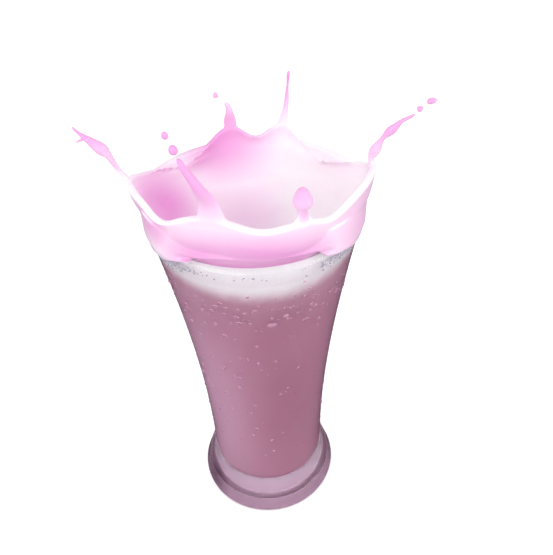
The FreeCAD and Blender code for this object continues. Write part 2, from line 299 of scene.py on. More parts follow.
# %% [markdown]
# ## Shared recipe: a soft spot
# Milk that was stirred with syrup is never one colour. A soft spot is a mask that is 1 at a
# point and falls smoothly to 0 at a given reach from it. Spots also place painted light and
# shade: a painted highlight and painted shade on the foot of the glass, and painted shade in
# the pink of the splash. It is a node group, because the glass, the drink and the splash are
# all coloured with it.

# %% Soft spot group


def soft_spot_group():
    group = bpy.data.node_groups.new("soft_spot", "ShaderNodeTree")
    for name in ("Vector", "Centre", "Reach"):
        group.interface.new_socket(name=name, in_out="INPUT", socket_type="NodeSocketVector")
    group.interface.new_socket(name="Mask", in_out="OUTPUT", socket_type="NodeSocketFloat")
    start = group.nodes.new("NodeGroupInput")
    away = node(
        group, "ShaderNodeVectorMath", {0: start.outputs["Vector"], 1: start.outputs["Centre"]},
        operation="SUBTRACT",
    )
    scaled = node(
        group, "ShaderNodeVectorMath", {0: away.outputs[0], 1: start.outputs["Reach"]},
        operation="DIVIDE",
    )
    far = node(group, "ShaderNodeVectorMath", {0: scaled.outputs[0]}, operation="LENGTH")
    mask = fade(group, far.outputs["Value"], 0.0, 1.0, 1.0, 0.0, "SMOOTHERSTEP")
    end = group.nodes.new("NodeGroupOutput")
    group.links.new(mask, end.inputs["Mask"])
    return group


SOFT_SPOT = soft_spot_group()


def soft_spot(tree, where, centre, reach):
    """The mask of one spot. Its centre and reach are in millimetres."""
    made = node(tree, "ShaderNodeGroup", node_tree=SOFT_SPOT)
    tree.links.new(where, made.inputs["Vector"])
    made.inputs["Centre"].default_value = [v * MM for v in centre]
    made.inputs["Reach"].default_value = [v * MM for v in reach]
    return made.outputs["Mask"]


print("group:", SOFT_SPOT.name)

# %% [markdown]
# ## The sizes of the glass
# The glass is a turned shape, so one half-section says all of it. Down from the rim the wall
# follows a power curve: nearly a cone at the top that straightens into a narrow waist, with a
# hollow above a thick foot. Both sides of the wall use the same curve, a wall's thickness
# apart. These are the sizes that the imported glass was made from.

# %% Sizes
GLASS_HEIGHT, RIM_RADIUS, RIM_WALL = 150.0 * MM, 38.5 * MM, 3.0 * MM
WAIST_RADIUS, WAIST_HEIGHT, WAIST_WALL = 26.3 * MM, 30.0 * MM, 2.6 * MM
FLARE_POWER = 1.85
FOOT_RADIUS, FOOT_CORNER = 32.6 * MM, 1.2 * MM
SHOULDER_RADIUS, SHOULDER_HEIGHT, SHOULDER_ROUND = 30.6 * MM, 8.0 * MM, 0.9 * MM
COVE_TOP = 20.0 * MM
FLOOR_HEIGHT, FLOOR_DISH, FLOOR_CORNER = 13.0 * MM, 0.8 * MM, 5.0 * MM
ROUND_START = GLASS_HEIGHT - RIM_WALL / 2


def flare_share(height):
    """How far the flare has come between the waist and the rim, from 0 to 1."""
    return min(1.0, max(0.0, (height - WAIST_HEIGHT) / (ROUND_START - WAIST_HEIGHT)))


def outer_radius(height):
    return WAIST_RADIUS + (RIM_RADIUS - WAIST_RADIUS) * flare_share(height) ** FLARE_POWER


def inner_radius(height):
    return outer_radius(height) - WAIST_WALL - (RIM_WALL - WAIST_WALL) * flare_share(height)


glass_low, glass_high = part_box("glass")
print("glass box, mm:", [round(v / MM, 1) for v in (*glass_low, *glass_high)])

# %% [markdown]
# ## Half-sections, and turning them
# On a lathe a glass is a line turned about an axis. In Blender that is one vertex, extruded
# again and again along the line, and then the Spin tool, all the way round. The spin leaves a
# doubled seam and a fan of points on the axis, so the doubles are merged, and then the
# normals are made to face outwards.

# %% Lathe helpers
DOUBLE = 0.002 * MM


def rounded(centre, radii, start, end, count):
    """Places along part of an ellipse, from one angle in degrees to another."""
    turns = [math.radians(start + (end - start) * i / count) for i in range(count + 1)]
    return [(centre[0] + radii[0] * math.cos(t), centre[1] + radii[1] * math.sin(t)) for t in turns]


def steps(low, high, count):
    return [low + (high - low) * i / count for i in range(count + 1)]


def inside_outline(top, aside=0.0, count=44):
    """The inside of the glass from the middle of its floor to a height, moved aside outwards."""
    wall = inner_radius(WAIST_HEIGHT)
    flat_end = wall - FLOOR_CORNER
    places = [
        (flat_end * share, FLOOR_HEIGHT - aside + FLOOR_DISH * share**2)
        for share in steps(0, 1, 8)
    ]
    corner = (flat_end, FLOOR_HEIGHT + FLOOR_DISH + FLOOR_CORNER)
    places += rounded(corner, (FLOOR_CORNER + aside,) * 2, -90, 0, 10)[1:]
    places += [(wall + aside, WAIST_HEIGHT)]
    places += [(inner_radius(z) + aside, z) for z in steps(WAIST_HEIGHT, top, count)[1:]]
    return places


def outside_outline():
    """The outside of the glass, from the middle of its underside to where the rim rounds."""
    run, rise = SHOULDER_RADIUS - SHOULDER_ROUND - WAIST_RADIUS, COVE_TOP - SHOULDER_HEIGHT
    hollow = (run**2 + rise**2) / (2 * run)
    turn = math.degrees(math.asin(rise / hollow))
    foot = (FOOT_RADIUS - FOOT_CORNER, FOOT_CORNER)
    shoulder = (SHOULDER_RADIUS - SHOULDER_ROUND, SHOULDER_HEIGHT - SHOULDER_ROUND)
    places = [(foot[0] * share, 0.0) for share in steps(0, 1, 6)]
    places += rounded(foot, (FOOT_CORNER,) * 2, -90, 0, 8)[1:]
    places += rounded(shoulder, (SHOULDER_ROUND,) * 2, 0, 90, 8)
    places += rounded((WAIST_RADIUS + hollow, COVE_TOP), (hollow,) * 2, 180 + turn, 180, 14)[1:]
    places += [(WAIST_RADIUS, WAIST_HEIGHT)]
    places += [(outer_radius(z), z) for z in steps(WAIST_HEIGHT, ROUND_START, 44)[1:]]
    return places


def lathe(name, outline, turns=192):
    """A closed shape, turned from an outline that starts and ends on the axis."""
    bpy.ops.object.select_all(action="DESELECT")
    bpy.ops.mesh.primitive_plane_add(size=MM)
    piece = bpy.context.object
    piece.name = piece.data.name = name
    bpy.ops.object.mode_set(mode="EDIT")
    bpy.ops.mesh.select_all(action="SELECT")
    bpy.ops.mesh.merge(type="CENTER")
    bpy.ops.transform.translate(value=(outline[0][0], 0, outline[0][1]))
    for here, there in zip(outline, outline[1:]):
        step = (there[0] - here[0], 0, there[1] - here[1])
        bpy.ops.mesh.extrude_region_move(TRANSFORM_OT_translate={"value": step})
    bpy.ops.mesh.select_all(action="SELECT")
    bpy.ops.mesh.spin(steps=turns, angle=2 * math.pi, center=(0, 0, 0), axis=(0, 0, 1))
    bpy.ops.mesh.select_all(action="SELECT")
    bpy.ops.mesh.remove_doubles(threshold=DOUBLE)
    bpy.ops.mesh.normals_make_consistent(inside=False)
    bpy.ops.object.mode_set(mode="OBJECT")
    bpy.ops.object.shade_smooth_by_angle(angle=math.radians(40))
    print(name, len(piece.data.polygons), "faces")
    return piece


# %% [markdown]
# ## The glass
# The wall is closed: up the outside, over the rounded rim and down the inside. Clear glass
# needs both of its surfaces, because light bends once where it goes in and again where it
# comes out, and the thick foot gathers the colour of the milk above it by that bending.

# %% Glass
rim = rounded((RIM_RADIUS - RIM_WALL / 2, ROUND_START), (RIM_WALL / 2,) * 2, 0, 180, 14)
inside = list(reversed(inside_outline(ROUND_START)))
glass = lathe("glass_wall", outside_outline() + rim[1:] + inside[1:])
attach(glass, "root")
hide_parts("glass")

# %% [markdown]
# ### Clear glass
# Glass is the plain shader with full transmission. On a cold drink the outside mists over, so
# the roughness rises a little, in soft patches, everywhere above the foot, while the foot
# stays clear. Thick glass takes a tint: it deepens down through the foot and again in the
# flange. On the foot there is also a painted highlight, a pale spot on the right, and painted
# shade, a dark spot on the left.

# %% Glass material
CLEAR, FOOT_TINT, FLANGE_TINT = chip(255, 253, 255), chip(238, 220, 234), chip(212, 182, 202)
# A painted highlight and painted shade, for two spots on the foot.
FOOT_PAINTED_HIGHLIGHT, FOOT_PAINTED_SHADE = (1, 1, 1, 1), chip(120, 92, 116)
MIST_FROM, MIST_FULL, MIST_ROUGH, GLASS_ROUGH = 24.0 * MM, 45.0 * MM, 0.16, 0.01
FOOT_FULL, FOOT_END = 6.0 * MM, 22.0 * MM
FLANGE_FULL, FLANGE_END = 6.5 * MM, 8.5 * MM

material, tree, output = new_material("cold_clear_glass")
where = node(tree, "ShaderNodeTexCoord").outputs["Object"]
height = node(tree, "ShaderNodeSeparateXYZ", {"Vector": where}).outputs["Z"]
misted = fade(tree, height, MIST_FROM, MIST_FULL)
patches = node(tree, "ShaderNodeTexNoise", {"Vector": where, "Scale": 60.0, "Detail": 3.0})
amount = maths(tree, "MULTIPLY", misted, patches.outputs[0])
rough = maths(tree, "MULTIPLY_ADD", amount, MIST_ROUGH, GLASS_ROUGH)
tint = blend(tree, fade(tree, height, FOOT_FULL, FOOT_END, 1.0, 0.0), CLEAR, FOOT_TINT)
tint = blend(tree, fade(tree, height, FLANGE_FULL, FLANGE_END, 1.0, 0.0), tint, FLANGE_TINT)
# Painted highlight: a pale spot on the right of the foot.
tint = blend(tree, soft_spot(tree, where, (23, -16, 15), (13, 16, 9)), tint, FOOT_PAINTED_HIGHLIGHT)
# Painted shade: a dark spot on the left of the foot.
tint = blend(tree, soft_spot(tree, where, (-28, -15, 5), (12, 18, 12)), tint, FOOT_PAINTED_SHADE)
ripple = node(tree, "ShaderNodeTexNoise", {"Vector": where, "Scale": 45.0, "Detail": 1.0})
bump = node(
    tree, "ShaderNodeBump", {"Strength": 0.1, "Distance": MM, "Height": ripple.outputs[0]}
)
shader = node(
    tree, "ShaderNodeBsdfPrincipled",
    {
        "Base Color": tint, "Transmission Weight": 1.0, "IOR": 1.5,
        "Roughness": rough, "Normal": bump.outputs[0],
    },
)
tree.links.new(shader.outputs[0], output.inputs["Surface"])
glass.data.materials.append(material)
print("material:", material.name)

# %% [markdown]
# ## The drink
# The drink takes the shape of the glass. If it only touched the wall, the renderer would find
# two surfaces in one place, and with a gap there would be a bright film of air. So it is
# turned from the same section, moved a little way into the wall. Its top is hollow, because
# the bowl of the splash sits in it.

# %% Drink
BITE = 0.12 * MM
FROTH_TOP = GLASS_HEIGHT - 1.2 * MM
FROTH_BOTTOM = GLASS_HEIGHT - 8.0 * MM
SHEET_FOOT_GAP = 0.9 * MM
CRATER_DEPTH, CRATER_POWER, BOWL_THICKNESS = 12.0 * MM, 2.5, 3.0 * MM
BOWL_RADIUS = inner_radius(FROTH_TOP) - SHEET_FOOT_GAP


def under_bowl(share):
    """A place on the underside of the splash's bowl, at a share of its radius."""
    drop = CRATER_DEPTH * (1 - share**CRATER_POWER)
    return BOWL_RADIUS * share, FROTH_TOP - BOWL_THICKNESS - drop


outline = inside_outline(FROTH_BOTTOM, BITE)
outline += [under_bowl(share) for share in (0.86, 0.78, 0.66, 0.52, 0.36, 0.18, 0.0)]
drink = lathe("drink_body", outline, 160)
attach(drink, "root")
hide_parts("drink")

# %% [markdown]
# ### Rose milk
# Milk scatters light just under its surface, so the shader has some subsurface. The colour is
# a dusky pink that is paler and cooler to the left, warmer in the middle, and goes over into
# the white of the froth at the top. The froth's edge hangs lowest in the middle and rises
# towards the sides, and two noises make it uneven. The flat underside is painted near white,
# as painted light where little light reaches it; the thick foot shows it as in a mirror.

# %% Drink material
DUSKY, COOL, WARM = chip(192, 136, 161), chip(226, 182, 209), chip(170, 109, 131)
# The second colour is painted light for the flat underside.
FOAM, UNDERSIDE_PAINTED_LIGHT = chip(254, 251, 254), chip(255, 240, 252)
FOAM_FROM, FOAM_FULL = 134.0 * MM, 142.5 * MM
MILKY_FROM, MILKY_FULL, MILKY_MOST = 116.0 * MM, 138.0 * MM, 0.07
UNDERSIDE_LIGHT_FULL, UNDERSIDE_LIGHT_END = 14.2 * MM, 15.0 * MM
FOAM_RISE, FOAM_SWIRL, FOAM_RAGGED = 6.0, 4.0 * MM, 3.0 * MM

material, tree, output = new_material("rose_milk")
where = node(tree, "ShaderNodeTexCoord").outputs["Object"]
swirl = node(
    tree, "ShaderNodeTexNoise",
    {"Vector": where, "Scale": 22.0, "Detail": 2.0, "Distortion": 0.6},
).outputs[0]
ragged = node(tree, "ShaderNodeTexNoise", {"Vector": where, "Scale": 190.0, "Detail": 3.0})
left = soft_spot(tree, where, (-32, -16, 60), (44, 46, 120))
middle = soft_spot(tree, where, (8, -30, 80), (24, 34, 90))
colour = blend(tree, left, DUSKY, COOL)
colour = blend(tree, maths(tree, "MULTIPLY", middle, 0.6), colour, WARM)
colour = blend(tree, maths(tree, "MULTIPLY", swirl, 0.3), colour, COOL)

place = node(tree, "ShaderNodeSeparateXYZ", {"Vector": where})
height, aside = place.outputs["Z"], place.outputs["X"]
uneven = maths(tree, "MULTIPLY_ADD", maths(tree, "MULTIPLY", aside, aside), -FOAM_RISE, height)
uneven = maths(tree, "MULTIPLY_ADD", swirl, FOAM_SWIRL, uneven)
either_way = maths(tree, "SUBTRACT", ragged.outputs[0], 0.5)
uneven = maths(tree, "MULTIPLY_ADD", either_way, FOAM_RAGGED, uneven)
milky = fade(tree, uneven, MILKY_FROM, MILKY_FULL, 0.0, MILKY_MOST)
colour = blend(tree, milky, colour, FOAM)
colour = blend(tree, fade(tree, uneven, FOAM_FROM, FOAM_FULL), colour, FOAM)
# Painted light: the flat underside is painted near white.
colour = blend(tree, fade(tree, height, UNDERSIDE_LIGHT_FULL, UNDERSIDE_LIGHT_END, 1.0, 0.0), colour, UNDERSIDE_PAINTED_LIGHT)
shader = node(
    tree, "ShaderNodeBsdfPrincipled",
    {
        "Base Color": colour, "Roughness": 0.35, "Specular IOR Level": 0.3,
        "Subsurface Weight": 0.15, "Subsurface Radius": (1.0, 0.6, 0.8), "Subsurface Scale": 0.0015,
    },
)
tree.links.new(shader.outputs[0], output.inputs["Surface"])
drink.data.materials.append(material)
print("material:", material.name)

# %% [markdown]
# ## The froth
# Stirring leaves a ring of froth against the wall, from the drink up to just under the rim. It
# is turned from a small section that bites into the wall, the drink and the splash, so that
# nothing shows between them, and its top dips where it clings to the glass.

# %% Froth
froth_heights = steps(FROTH_BOTTOM - 0.3 * MM, FROTH_TOP - 0.2 * MM, 8)
outer = [(inner_radius(z) + BITE, z) for z in froth_heights]
# The dip at the wall: how far in from it, and how far up from the froth's level, in millimetres.
dip = ((0.5, -0.45), (1.2, -0.2), (2.2, 0.1))
top = [(inner_radius(FROTH_TOP) - inwards * MM, FROTH_TOP + up * MM) for inwards, up in dip]
under = [
    (BOWL_RADIUS - 4 * MM, FROTH_TOP - 3 * MM),
    (BOWL_RADIUS - 5 * MM, FROTH_BOTTOM - 0.6 * MM),
]
froth = lathe("froth_ring", outer + top + under + outer[:1], 192)
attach(froth, "root")
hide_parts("froth")

# %% [markdown]
# ### Froth, close to
# Froth is thousands of tiny bubbles. Small cells raise a fine bump, and a noise moves the
# colour between two whites.

# %% Froth material
DULL_FOAM = chip(248, 242, 249)
material, tree, output = new_material("milk_froth")
where = node(tree, "ShaderNodeTexCoord").outputs["Object"]
cells = node(tree, "ShaderNodeTexVoronoi", {"Vector": where, "Scale": 900.0, "Randomness": 1.0})
patches = node(tree, "ShaderNodeTexNoise", {"Vector": where, "Scale": 90.0, "Detail": 4.0})
colour = blend(tree, patches.outputs[0], FOAM, DULL_FOAM)
bump = node(
    tree, "ShaderNodeBump",
    {"Strength": 0.3, "Distance": 0.3 * MM, "Height": cells.outputs["Distance"]},
)
shader = node(
    tree, "ShaderNodeBsdfPrincipled",
    {
        "Base Color": colour, "Roughness": 0.5, "Specular IOR Level": 0.3,
        "Subsurface Weight": 0.3, "Subsurface Radius": (1.0, 0.8, 0.9), "Subsurface Scale": 0.001,
        "Normal": bump.outputs[0],
    },
)
tree.links.new(shader.outputs[0], output.inputs["Surface"])
froth.data.materials.append(material)
print("material:", material.name)

# %% [markdown]
# ## The splash
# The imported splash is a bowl, an upright sheet and six fingers, and it has creases where they
# meet. Real milk has none: surface tension rounds every join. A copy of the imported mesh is
# merged, rebuilt from small cubes with the Remesh modifier, which welds all of it into one
# skin, and then smoothed. Thin tips are smoothed less, because they would shrink away.

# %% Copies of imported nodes


def select_only(*pieces):
    """Selects some pieces and nothing else. The last one is the active one."""
    bpy.ops.object.select_all(action="DESELECT")
    for piece in pieces:
        piece.select_set(True)
    bpy.context.view_layer.objects.active = pieces[-1]


def copy_of(node_name, name):
    """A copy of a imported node, with its loose triangles joined into one smooth surface."""
    piece = frame["nodes"][node_name].copy()
    piece.data = piece.data.copy()
    piece.parent = None
    piece.name = piece.data.name = name
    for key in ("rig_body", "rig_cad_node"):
        del piece[key]
    bpy.context.scene.collection.objects.link(piece)
    piece.data.materials.clear()
    select_only(piece)
    bpy.ops.object.mode_set(mode="EDIT")
    bpy.ops.mesh.select_all(action="SELECT")
    bpy.ops.mesh.remove_doubles(threshold=DOUBLE)
    bpy.ops.object.mode_set(mode="OBJECT")
    bpy.ops.object.shade_smooth()
    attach(piece, "root")
    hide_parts(node_name)
    print(name, len(piece.data.polygons), "faces")
    return piece


def modify(piece, kind, **settings):
    """Adds a modifier, sets it and applies it."""
    select_only(piece)
    bpy.ops.object.modifier_add(type=kind)
    modifier = piece.modifiers[-1]
    for option, value in settings.items():
        setattr(modifier, option, value)
    bpy.ops.object.modifier_apply(modifier=modifier.name)


# %% Splash copy
splash = copy_of("splash", "splash_crown")

# %% [markdown]
# ### Milk over the rim
# To the sides and behind, the thrown milk has run over the rim and hangs a few millimetres
# down the outside of the glass, while at the front the rim stays free. A ring is turned with
# the section of that hanging edge. Then its points are drawn up by how near the front they
# are, and fitted to the outside of the sheet, so that at the front the ring is lost inside it.

# %% Hanging edge
LAP_TOP, LAP_PROUD, LAP_REACH = GLASS_HEIGHT + 9.5 * MM, 0.9 * MM, 1.1 * MM
LAP_LOW, LAP_NONE = GLASS_HEIGHT - 5.0 * MM, GLASS_HEIGHT + 4.5 * MM
# Degrees from the front: the edge hangs over from the first, and all the way from the second.
LAP_FREE, LAP_FULL = 6, 66


def lap_edge(azimuth):
    """The height that the milk hangs down to, by degrees from the front. It is a little wavy."""
    share = min(1.0, max(0.0, (abs(azimuth) - LAP_FREE) / (LAP_FULL - LAP_FREE)))
    share = share * share * (3 - 2 * share)
    turn = math.radians(azimuth)
    wave = (0.5 * math.sin(7 * turn + 0.6) + 0.35 * math.sin(17 * turn)) * MM
    return LAP_NONE + (LAP_LOW - LAP_NONE + wave) * share


def around_rim(height):
    """The radius of the outside of milk that hangs over the rim."""
    if height > ROUND_START:
        return RIM_RADIUS + LAP_REACH
    return outer_radius(height) + LAP_PROUD


def sheet_radius(turn, height):
    """The outside of the thrown sheet, found by looking at it from outside."""
    out = Vector((math.sin(turn), -math.cos(turn), 0))
    hit, place, _, _ = splash.ray_cast(out * 0.09 + Vector((0, 0, height)), -out)
    return math.hypot(place.x, place.y) if hit else around_rim(height)


print("milk hangs to, mm:", [round(lap_edge(azimuth) / MM, 1) for azimuth in (0, 45, 90, 180)])

# %% Turning and fitting the hanging edge
LAP_END, LAP_BITE, LAP_FLAP = 0.4 * MM, 0.7 * MM, 1.2 * MM
RIM_CLEAR, RIM_SKIRT = 0.6 * MM, 2.2 * MM
FILLET_SLOPE, SHEET_BITE = 0.8, 0.2 * MM

outline = [(around_rim(z), z) for z in steps(LAP_TOP, LAP_LOW + LAP_END, 22)]
outline += [(outer_radius(LAP_LOW) + 0.5 * MM, LAP_LOW)]
outline += [(outer_radius(z) - LAP_BITE, z) for z in steps(LAP_LOW + 0.2 * MM, ROUND_START, 6)]
outline += [(RIM_RADIUS - RIM_SKIRT, z) for z in steps(GLASS_HEIGHT + 1.0 * MM, LAP_TOP, 9)]
lap = lathe("hanging_edge", outline + outline[:1], 240)


def fitted_radius(radius, z, height, edge, turn):
    """The radius of one point of the ring once it has been moved to its new height."""
    above_rim = height > GLASS_HEIGHT + RIM_CLEAR
    sheet = sheet_radius(turn, height) if above_rim else 0.0
    if radius <= outer_radius(min(z, ROUND_START)):
        return sheet - LAP_FLAP if above_rim else radius
    proud = around_rim(height)
    fillet = min(proud, sheet + FILLET_SLOPE * (height - edge)) if above_rim else proud
    over = min(1.0, max(0.0, (GLASS_HEIGHT + 0.5 * MM - edge) / (2 * MM)))
    radius = max(fillet + (proud - fillet) * over, sheet - SHEET_BITE)
    return radius - (LAP_END if z < LAP_LOW + 0.2 * MM else 0.0)


for vertex in lap.data.vertices:
    x, y, z = vertex.co
    turn = math.atan2(x, -y)
    edge = lap_edge(math.degrees(turn))
    height = LAP_TOP - (LAP_TOP - z) * (LAP_TOP - edge) / (LAP_TOP - LAP_LOW)
    radius = fitted_radius(math.hypot(x, y), z, height, edge, turn)
    vertex.co = (radius * math.sin(turn), -radius * math.cos(turn), height)
print("hanging edge fitted:", len(lap.data.vertices), "points")

# %% [markdown]
# ### A forked tip
# The ribbon on the left is about to shed a drop, and its end has split in two. The second
# prong is a short cone, laid along the split, which the remesh below melts into the ribbon.

# %% Forked tip
tip = min((v.co for v in splash.data.vertices), key=lambda place: place.x).copy()
FORK_IN, FORK_BAND, FORK_DEEP = 3.0 * MM, 0.6 * MM, 9.0 * MM
PRONG = Vector((-2.4, -0.5, -0.9)) * MM
ring = [
    v.co for v in splash.data.vertices
    if abs(v.co.x - tip.x - FORK_IN) < FORK_BAND and v.co.z > tip.z - FORK_DEEP
]
fork = sum(ring, Vector()) / len(ring)
bpy.ops.object.select_all(action="DESELECT")
bpy.ops.mesh.primitive_cone_add(
    vertices=16, radius1=0.62 * MM, radius2=0.3 * MM, depth=PRONG.length * 1.3,
    location=fork + PRONG / 2, rotation=PRONG.to_track_quat("Z", "Y").to_euler(),
)
prong = bpy.context.object
bpy.ops.object.transform_apply(location=True, rotation=True, scale=True)
print("fork at, mm:", [round(v / MM, 1) for v in fork])

# %% [markdown]
# ### A knob with a neck
# The short finger at the front has lost its drop and ends in a round knob. A ball is added at
# its top now, and after the remesh its neck is drawn in with a Displace modifier.

# %% Knob
KNOB_AZIMUTH, KNOB_OUT, KNOB_UP, KNOB_RADIUS = 19, 2.7, 23.8, 2.9 * MM
NECK_UP, NECK_REACH, NECK_PINCH = 19.6, 3.6 * MM, 1.0 * MM


def from_rim(azimuth, out, up):
    """A point given from the rim's outer edge, in millimetres."""
    turn, radius = math.radians(azimuth), RIM_RADIUS + out * MM
    return Vector((radius * math.sin(turn), -radius * math.cos(turn), GLASS_HEIGHT + up * MM))


bpy.ops.object.select_all(action="DESELECT")
bpy.ops.mesh.primitive_ico_sphere_add(
    subdivisions=4, radius=KNOB_RADIUS, location=from_rim(KNOB_AZIMUTH, KNOB_OUT, KNOB_UP)
)
knob = bpy.context.object
bpy.ops.object.transform_apply(location=True, rotation=True, scale=True)
print("knob:", len(knob.data.polygons), "faces")

# %% [markdown]
# ### One skin, with round roots
# The hanging edge, the prong and the ball are joined to the splash and remeshed with it. Then
# it is smoothed where a finger leaves the lip and where the hanging edge meets the sheet, and
# once all over: a second smoothing, turned round, gives back what the first one shrank. Last,
# Decimate thins the mesh where it is nearly flat.

# %% Splash skin
select_only(lap, prong, knob, splash)
bpy.ops.object.join()
modify(splash, "REMESH", mode="VOXEL", voxel_size=0.3 * MM)
print("remeshed:", len(splash.data.polygons), "faces")

# %% Round the roots
# Where each finger leaves the lip: azimuth from the front towards the right, out and up from
# the rim, and how far the rounding reaches, in millimetres.
ROOTS = (
    (343, 2.6, 21.0, 7.0), (19, 2.6, 17.5, 6.0), (79, 1.8, 18.0, 5.0),
    (161.5, 4.4, 15.5, 6.0), (190.5, 4.2, 15.0, 6.0), (271, 4.0, 15.0, 5.0),
)


def weigh_near(piece, name, places):
    """A vertex group that is 1 at some places and falls to 0 at each one's reach."""
    group = piece.vertex_groups.new(name=name)
    for vertex in piece.data.vertices:
        if vertex.co.z < GLASS_HEIGHT - 6 * MM:
            continue
        near = max(1 - (vertex.co - place).length / reach for place, reach in places)
        if near > 0:
            group.add([vertex.index], min(1.0, 1.6 * near), "REPLACE")
    return name


roots = [(from_rim(azimuth, out, up), reach * MM) for azimuth, out, up, reach in ROOTS]
modify(splash, "SMOOTH", factor=0.5, iterations=50, vertex_group=weigh_near(splash, "roots", roots))
neck = [(from_rim(KNOB_AZIMUTH, KNOB_OUT, NECK_UP), NECK_REACH)]
neck = weigh_near(splash, "neck", neck)
modify(splash, "DISPLACE", strength=-NECK_PINCH, mid_level=0.0, vertex_group=neck)
corners = [(from_rim(azimuth, 0.6, 1.0), 6 * MM) for azimuth in (-42, -36, 36, 42)]
corners += [(from_rim(azimuth, 0.8, 5.5), 7 * MM) for azimuth in range(50, 315, 10)]
corners = weigh_near(splash, "corners", corners)
modify(splash, "SMOOTH", factor=0.5, iterations=40, vertex_group=corners)
modify(splash, "SMOOTH", factor=0.5, iterations=10)
modify(splash, "SMOOTH", factor=-0.52, iterations=10)
modify(splash, "DECIMATE", ratio=0.28)
bpy.ops.object.shade_smooth()
print("splash:", len(splash.data.polygons), "faces")

# %% [markdown]
# ### The drops in the air
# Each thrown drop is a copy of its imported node, rebuilt from smaller cubes than the splash and
# smoothed a little.

# %% Drops
drops = [
    copy_of(name, name.replace("drop_", "thrown_drop_"))
    for name in sorted(frame["nodes"])
    if name.startswith("drop_")
]
for drop in drops:
    modify(drop, "REMESH", mode="VOXEL", voxel_size=0.14 * MM)
    modify(drop, "SMOOTH", factor=0.5, iterations=6)
    bpy.ops.object.shade_smooth()
print("drops:", [drop.name for drop in drops])

# %% [markdown]
# ### Pink milk in the air
# The splash is nearly white along its lip and on the right, and deep pink in the hollow on the
# left, at the back, in the bowl and in a belt across the front. The pink is partly the milk's
# own colour and partly painted shade: in the hollow, at the back and in the bowl it is painted
# shade where the light falls least, and the belt is partly painted shade. The white lip is a
# painted highlight. Soft spots put the pink there, the fingers and drops take theirs from
# their height, and a slow noise keeps the edges of it all from looking drawn.

# %% Where the milk is pink
# The middle and reach of each spot, in millimetres, and how pink it is.
PINK_AND_SHADE_SPOTS = (
    # Painted shade: the hollow on the left, the back and the bowl, where the light falls least.
    ((-36, 4, 147), (32, 40, 26), 1.0),  # the hollow on the left
    ((-18, 42, 160), (46, 34, 34), 0.95),  # the back
    ((-10, 8, 140), (42, 42, 18), 0.45),  # the bowl
    ((14, -39, 172), (8, 8, 11), 0.65),  # the knob
    ((-50, 0, 170), (16, 16, 15), 0.75),  # the root of the left ribbon
    ((-36, -22, 160), (26, 26, 18), 0.85),  # the left end of the belt
)
# The belt is partly the milk's own pink and partly painted shade, where the front of the sheet
# faces down.
BELT_SPOT, BELT_GAIN, BELT_PINK = ((-4, -40, 151), (62, 40, 28)), 1.2, 0.86
CHEEK_SPOT, CHEEK_PINK = ((36, -20, 156), (40, 44, 36)), 0.6
RIBBON_FROM, RIBBON_FULL, RIBBON_PINK = 160.0 * MM, 180.0 * MM, 0.9
NOISE_PINK = 0.3

material, tree, output = new_material("splashed_milk")
coordinates = node(tree, "ShaderNodeTexCoord")
where, facing = coordinates.outputs["Object"], coordinates.outputs["Normal"]
place = node(tree, "ShaderNodeSeparateXYZ", {"Vector": where})
height, ahead = place.outputs["Z"], place.outputs["Y"]
# How far the surface is from the axis, how much it faces away from it, and how much up.
level = node(tree, "ShaderNodeVectorMath", {0: where, 1: (1, 1, 0)}, operation="MULTIPLY")
level = level.outputs[0]
away = node(tree, "ShaderNodeVectorMath", {0: level}, operation="LENGTH").outputs["Value"]
out = node(tree, "ShaderNodeVectorMath", {0: level}, operation="NORMALIZE").outputs[0]
outwards = node(tree, "ShaderNodeVectorMath", {0: facing, 1: out}, operation="DOT_PRODUCT")
outwards = outwards.outputs["Value"]
upwards = node(tree, "ShaderNodeSeparateXYZ", {"Vector": facing}).outputs["Z"]

belt = maths(tree, "MULTIPLY", soft_spot(tree, where, *BELT_SPOT), BELT_GAIN, clamp=True)
cheek = soft_spot(tree, where, *CHEEK_SPOT)
cheek = maths(tree, "MULTIPLY", cheek, fade(tree, outwards, -0.2, 0.3))
pinks = [
    maths(tree, "MULTIPLY", belt, BELT_PINK),
    maths(tree, "MULTIPLY", cheek, CHEEK_PINK),
    fade(tree, height, RIBBON_FROM, RIBBON_FULL, 0.0, RIBBON_PINK, "LINEAR"),
]
for centre, reach, pink in PINK_AND_SHADE_SPOTS:
    pinks.append(maths(tree, "MULTIPLY", soft_spot(tree, where, centre, reach), pink))
amount = pinks[0]
for pink in pinks[1:]:
    amount = maths(tree, "MAXIMUM", amount, pink)
slow = node(
    tree, "ShaderNodeTexNoise",
    {"Vector": where, "Scale": 45.0, "Detail": 1.0, "Distortion": 0.4},
)
either_way = maths(tree, "SUBTRACT", slow.outputs[0], 0.5)
amount = maths(tree, "MULTIPLY_ADD", either_way, NOISE_PINK, amount, clamp=True)
print("pink spots:", len(PINK_AND_SHADE_SPOTS) + 2)

# %% [markdown]
# ### The white lip, a painted highlight
# The lip is the rounded edge of the sheet. There the surface faces up and not yet inwards, and
# there it is painted white as a highlight. The mask is the product of six fades: one for facing
# up, and five that keep it off the bowl, the back, the fingers and the milk that hangs over the
# rim.

# %% Splash material
# The third colour is a painted highlight along the lip.
PALE, PINK, LIP_PAINTED_HIGHLIGHT = chip(254, 247, 252), chip(231, 153, 213), chip(255, 250, 255)
# What is looked at, the value where the lip ends, and the value where it is fully white.
HIGHLIGHT_LIMITS = (
    (outwards, -0.8, -0.3), (away, 0.033, 0.037), (ahead, -0.004, -0.014),
    (height, 0.172, 0.166), (height, 0.154, 0.159),
)
